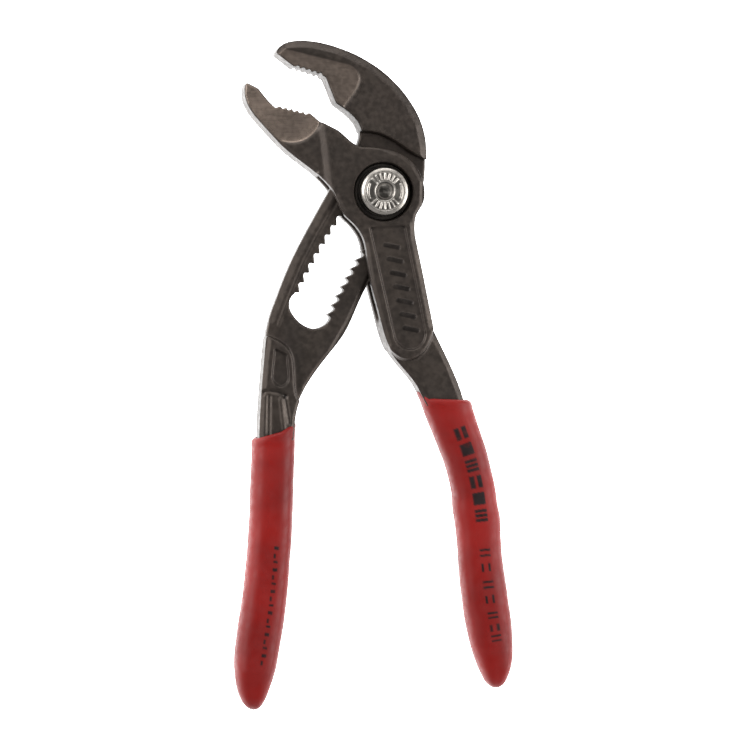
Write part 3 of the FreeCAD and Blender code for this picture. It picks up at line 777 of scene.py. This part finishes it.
def makeGrip(shape, make):
    line = np.array(shape["line"])
    stations = np.concatenate([[0.0], np.cumsum(np.hypot(*np.diff(line[:, :2], axis=0).T))])
    total = stations[-1]
    lipAcross, lipAlong = np.array(shape["lip"]).T
    half = make["wall"] / 2.0
    rings = []                                # each ring: distance past the lip, inset, pocket or outer
    for share in np.linspace(1.0, 0.0, make["pocketRings"]):
        rings.append((half + share * (shape["pocketEnd"] - 3.0), 1.0, True))
    for turn in np.linspace(math.pi * 0.88, math.pi * 0.12, make["lipRings"]):
        rings.append((half - half * math.sin(turn), 0.5 - 0.5 * math.cos(turn), False))
    outer = np.arange(half, total, make["step"])
    for spot in outer:
        rings.append((spot, 0.0, False))
    vertices = []
    ink = []
    for order, (past, inset, pocket) in enumerate(rings):
        middle = np.array([min(past + make["lipMiddle"], total * 0.9999)])
        width = math.sqrt(max(float(hermite(stations, line[:, 2] ** 2, middle)[0]), 0.0))
        width = max(width, 0.02)
        halfThick = make["thickness"] / 2.0 * min(1.0, (width / make["fullWidth"]) ** 0.7)
        swell = make["lipSwell"] * math.exp(-((past - 0.9) / 0.7) ** 2) * (1.0 - inset)
        power = make["pocketShape"] if pocket else make["outerShape"]
        a, z = squircle(max(width / 2.0 - inset * make["wall"] + swell, 0.02),
                        max(halfThick - inset * make["wallOver"] + swell, 0.02), power, make["around"])
        start = np.interp(a, lipAcross, lipAlong)
        fade = 1.0 - rise(np.full(len(a), past), 0.0, total - make["tipFade"])
        along = np.clip(start * fade + make["lipMiddle"] * (1.0 - fade) + past, 0.0, total)
        if order == len(rings) - 1:
            along[:] = total
            a[:] = 0.0
            z[:] = 0.0
        centre = hermite(stations, line[:, :2], along)
        ahead = hermite(stations, line[:, :2], np.clip(along + 0.05, 0.0, total))
        behind = hermite(stations, line[:, :2], np.clip(along - 0.05, 0.0, total))
        heading = (ahead - behind) / np.linalg.norm(ahead - behind, axis=1)[:, None]
        wave = 1.0 + make["waviness"] / 4.0 * np.sin(along * 0.55 + a * 0.4) * np.cos(along * 0.23 + z * 0.7)
        x = centre[:, 0] - heading[:, 1] * a * wave
        y = centre[:, 1] + heading[:, 0] * a * wave
        vertices.append(np.stack([x, y, midZ + z * wave], axis=1))
        front = (z > 0.0) & (not pocket)
        ink.append(printMarks(shape["marks"], along, a, make["inkSoftness"]) * front)
    around = make["around"]
    faces = [tuple(range(around))]
    for ring in range(len(rings) - 2):
        low = ring * around
        for k in range(around):
            nextK = (k + 1) % around
            faces.append((low + nextK, low + k, low + around + k, low + around + nextK))
    tip = (len(rings) - 2) * around
    faces.append(tuple(tip + k for k in range(around))[::-1])
    places = np.concatenate(vertices[:-1]) * mm
    piece = newPiece(shape["node"] + "_sleeve", places, faces, dippedVinyl, shape["body"])
    writeMark(piece.data, "ink", np.concatenate(ink[:-1]))
    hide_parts(shape["node"])
    print("stage:", piece.name, "with", len(piece.data.polygons), "faces")


makeGrip(boxLegGripShape, gripMake)
makeGrip(slottedLegGripShape, gripMake)


# push button: a turned cap with a raised rim, ribs for the thumb and a riveted middle

buttonShape = {
    "radius": 4.37,
    "rounding": 0.45,
    "bottom": 10.85,
    "edge": 11.62,
    "top": 12.1,
    "rim": (3.6, 3.75, 3.95, 4.1),            # radii where a band starts, is full, starts to end, ends
    "rimHeight": 0.07,
    "dish": 1.75,
    "dishDepth": 0.3,
    "rivet": 1.25,
    "rivetHeight": 0.16,
    "dimpleDepth": 0.06,
    "ribsPerSide": 7,
    "ribSpacing": 0.27,                       # radians
    "ribEdge": (0.1, 0.22),
    "ribHeight": 0.13,
    "ribBand": (2.05, 2.2, 3.35, 3.5),
    "arcBand": (2.95, 3.05, 3.3, 3.42),
    "arcEnd": (0.42, 0.5),                    # radians either side of left and right
    "around": 240,
}


def band(radius, limits):
    start, full, end, over = limits
    return float(rise(radius, start, full)) * (1.0 - float(rise(radius, end, over)))


def makeButton(shape):
    turn = np.linspace(0.0, math.tau, shape["around"], endpoint=False)
    rounding = shape["rounding"]
    flatReach = shape["radius"] - rounding
    bend = np.sin(np.linspace(0.06, math.pi / 2, 12))
    radii = np.concatenate([np.linspace(0.06, flatReach, 66), flatReach + rounding * bend])
    rings = []
    lows = []                                 # each ring's height between its ribs
    for radius in radii:
        share = radius / shape["radius"]
        dome = shape["edge"] + (shape["top"] - shape["edge"]) * math.sqrt(max(1.0 - share ** 2.6, 0.0))
        dome = dome + shape["rimHeight"] * band(radius, shape["rim"])
        height = np.full(shape["around"], dome)
        height -= shape["dishDepth"] * (1.0 - rise(radius, shape["dish"] - 0.25, shape["dish"] + 0.2))
        height += shape["rivetHeight"] * math.sqrt(max(1.0 - (radius / shape["rivet"]) ** 2, 0.0))
        height -= shape["dimpleDepth"] * (1.0 - rise(radius, 0.1, 0.5))
        ribs = np.zeros(shape["around"])
        for side in (math.pi / 2, -math.pi / 2):
            for rib in range(shape["ribsPerSide"]):
                middle = side + (rib - (shape["ribsPerSide"] - 1) / 2.0) * shape["ribSpacing"]
                gap = np.abs((turn - middle + math.pi) % math.tau - math.pi) * radius
                ribs = np.maximum(ribs, 1.0 - rise(gap, *shape["ribEdge"]))
        lows.append(height[0])
        height += shape["ribHeight"] * band(radius, shape["ribBand"]) * ribs
        sideGap = np.minimum(np.abs((turn + math.pi) % math.tau - math.pi), np.abs(turn % math.tau - math.pi))
        arcs = 1.0 - rise(sideGap, *shape["arcEnd"])
        height += shape["ribHeight"] * arcs * band(radius, shape["arcBand"])
        rings.append(np.stack([radius * np.cos(turn), radius * np.sin(turn), height], axis=1))
    for level in (shape["edge"] - 0.2, shape["bottom"] + 0.25, shape["bottom"] + 0.08):
        rings.append(np.stack([shape["radius"] * np.cos(turn), shape["radius"] * np.sin(turn),
                               np.full(len(turn), level)], axis=1))
    lows += [shape["bottom"]] * 7
    for inset, level in ((0.1, 0.0), (0.8, 0.0), (1.0, 0.25), (1.6, 0.3)):
        radius = shape["radius"] - inset
        rings.append(np.stack([radius * np.cos(turn), radius * np.sin(turn),
                               np.full(len(turn), shape["bottom"] + level)], axis=1))
    count = shape["around"]
    faces = [tuple(range(count)), tuple((len(rings) - 1) * count + k for k in range(count))[::-1]]
    for ring in range(len(rings) - 1):
        for k in range(count):
            nextK = (k + 1) % count
            low = ring * count
            faces.append((low + nextK, low + k, low + count + k, low + count + nextK))
    piece = newPiece("push_button_cap", np.concatenate(rings) * mm, faces, buttonSteel,
                     "bolt_set")
    markEdges(piece, 60.0, 1)
    places = readPlaces(piece.data) / mm
    radius = np.hypot(places[:, 0], places[:, 1])
    high = np.concatenate([ring[:, 2] for ring in rings])
    around = np.array([level for level in lows for _ in range(count)])
    # painted shade: the low spaces between the ribs are darkened, and the middle is painted darker
    ribbed = rise(radius, 2.0, 2.2) * (1.0 - rise(radius, 3.35, 3.55))
    ribbed = ribbed * (1.0 - rise(high - around, 0.02, 0.09))
    middle = 1.0 - rise(radius, 1.55, 1.95)
    top = rise(places[:, 2], shape["edge"] - 0.05, shape["edge"] + 0.1)
    writeMark(piece.data, "grimeShade", np.clip(np.maximum(ribbed * 0.45, middle * 0.75) * top, 0.0, 1.0))
    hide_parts("push_button")
    print("stage:", piece.name)


makeButton(buttonShape)


# conical spring under the button, its top at the cap's underside

springShape = {"wire": 0.45, "turns": 3.0, "baseRadius": 4.7, "topRadius": 3.57, "bottom": 8.25, "top": 10.85,
               "steps": 260, "around": 14, "flatEnds": 0.4}


def makeSpring(shape):
    half = shape["wire"] / 2.0
    share = np.linspace(0.0, 1.0, shape["steps"])
    turn = share * shape["turns"] * math.tau
    climb = np.clip((share - shape["flatEnds"] / 4.0) / (1.0 - shape["flatEnds"] / 2.0), 0.0, 1.0)
    climb = climb * climb * (3.0 - 2.0 * climb) * 0.4 + climb * 0.6
    radius = shape["baseRadius"] + (shape["topRadius"] - shape["baseRadius"]) * share
    height = shape["bottom"] + half + (shape["top"] - shape["bottom"] - 2.0 * half) * climb
    upward = np.array([0.0, 0.0, 1.0])
    vertices = []
    for step in range(shape["steps"]):
        outward = np.array([math.cos(turn[step]), math.sin(turn[step]), 0.0])
        centre = outward * radius[step] + np.array([0.0, 0.0, height[step]])
        for k in range(shape["around"]):
            angle = math.tau * k / shape["around"]
            vertices.append(centre + half * (math.cos(angle) * outward + math.sin(angle) * upward))
    count = shape["around"]
    faces = [tuple(range(count))[::-1], tuple((shape["steps"] - 1) * count + k for k in range(count))]
    for step in range(shape["steps"] - 1):
        for k in range(count):
            nextK = (k + 1) % count
            low = step * count
            faces.append((low + k, low + nextK, low + count + nextK, low + count + k))
    piece = newPiece("button_spring_coil", np.array(vertices) * mm, faces, springSteel,
                     "spring_seat")
    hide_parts("button_spring")
    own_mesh(piece)
    print("stage:", piece.name)


makeSpring(springShape)


# turned parts that keep their machined shape, with broken edges

turnedParts = {
    "toothed_bolt": {"material": boltSteel, "bevel": 0.08},
    "bolt_collar": {"material": boltSteel, "bevel": 0.1},
    "spring_washer": {"material": springSteel, "bevel": 0.05},
}
for name, part in turnedParts.items():
    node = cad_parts[name]
    for place in node.material_slots:
        place.material = part["material"]
    weld = node.modifiers.new("weld", "WELD")
    weld.merge_threshold = 0.002 * mm
    bevel = node.modifiers.new("brokenEdges", "BEVEL")
    bevel.width = part["bevel"] * mm
    bevel.segments = 2
    bevel.limit_method = "ANGLE"
    bevel.angle_limit = math.radians(40)
print("stage: turned parts finished")


# floor, light and camera

studio = {
    "floor": paint(250, 250, 250),
    "floorReach": 1.5,                        # metres
    "floorHeight": -0.0001,
    "floorGlow": 2.0,
    "overhead": 0.38,
    "horizon": 0.75,
    "camera": (-85.35, -25.44, 650.0),
    "target": (-1.0, -34.5, 5.0),
    "lens": 165.0,
    "lights": [                               # name, place, size, power
        ("leftSoftbox", (-430.0, 110.0, 230.0), 380.0, 3.4),
        ("rightSoftbox", (400.0, -60.0, 260.0), 380.0, 2.8),
        ("backSoftbox", (0.0, 420.0, 320.0), 380.0, 1.6),
    ],
}


def makeStudio(setup):
    mesh = bpy.data.meshes.new("floor")
    reach = setup["floorReach"]
    corners = ((-reach, -reach), (reach, -reach), (reach, reach), (-reach, reach))
    mesh.from_pydata([(x, y, setup["floorHeight"]) for x, y in corners], [], [(0, 1, 2, 3)])
    floor = bpy.data.objects.new("floor", mesh)
    bpy.context.scene.collection.objects.link(floor)
    material, tree, shader, place = newMaterial("paleFloor", 0.0, specular=0.2)
    shader.inputs["Roughness"].default_value = 0.8
    shader.inputs["Emission Color"].default_value = (1.0, 1.0, 1.0, 1.0)
    shader.inputs["Emission Strength"].default_value = setup["floorGlow"]
    tone = addMix(tree, addNoise(tree, place, 30.0), setup["floor"], paint(247, 247, 247))
    tree.links.new(tone, shader.inputs["Base Color"])
    mesh.materials.append(material)
    world = bpy.data.worlds.new("studioSky")
    world.use_nodes = True
    background = world.node_tree.nodes["Background"]
    background.inputs["Color"].default_value = (1.0, 1.0, 1.0, 1.0)
    tree = world.node_tree
    split = tree.nodes.new("ShaderNodeSeparateXYZ")
    tree.links.new(tree.nodes.new("ShaderNodeTexCoord").outputs["Generated"], split.inputs[0])
    level = addSpread(tree, split.outputs[2], 0.1, 0.95, setup["horizon"], setup["overhead"])
    tree.links.new(level, background.inputs["Strength"])
    bpy.context.scene.world = world
    middle = Vector(setup["target"]) * mm
    for name, spot, size, power in setup["lights"]:
        lamp = bpy.data.lights.new(name, "AREA")
        lamp.size = size * mm
        lamp.energy = power
        holder = bpy.data.objects.new(name, lamp)
        holder.location = Vector(spot) * mm
        holder.rotation_euler = (middle - holder.location).to_track_quat("-Z", "Y").to_euler()
        bpy.context.scene.collection.objects.link(holder)
    lens = bpy.data.cameras.new("camera")
    lens.lens = setup["lens"]
    lens.clip_start = 0.01
    lens.clip_end = 20.0
    camera = bpy.data.objects.new("camera", lens)
    camera.location = Vector(setup["camera"]) * mm
    ahead = (middle - camera.location).normalized()
    side = ahead.cross(Vector((0.0, 1.0, 0.0))).normalized()
    camera.rotation_euler = Matrix((side, side.cross(ahead), -ahead)).transposed().to_euler()
    bpy.context.scene.collection.objects.link(camera)
    bpy.context.scene.camera = camera
    bpy.context.scene.view_settings.view_transform = "Standard"


makeStudio(studio)
print("stage: studio ready")
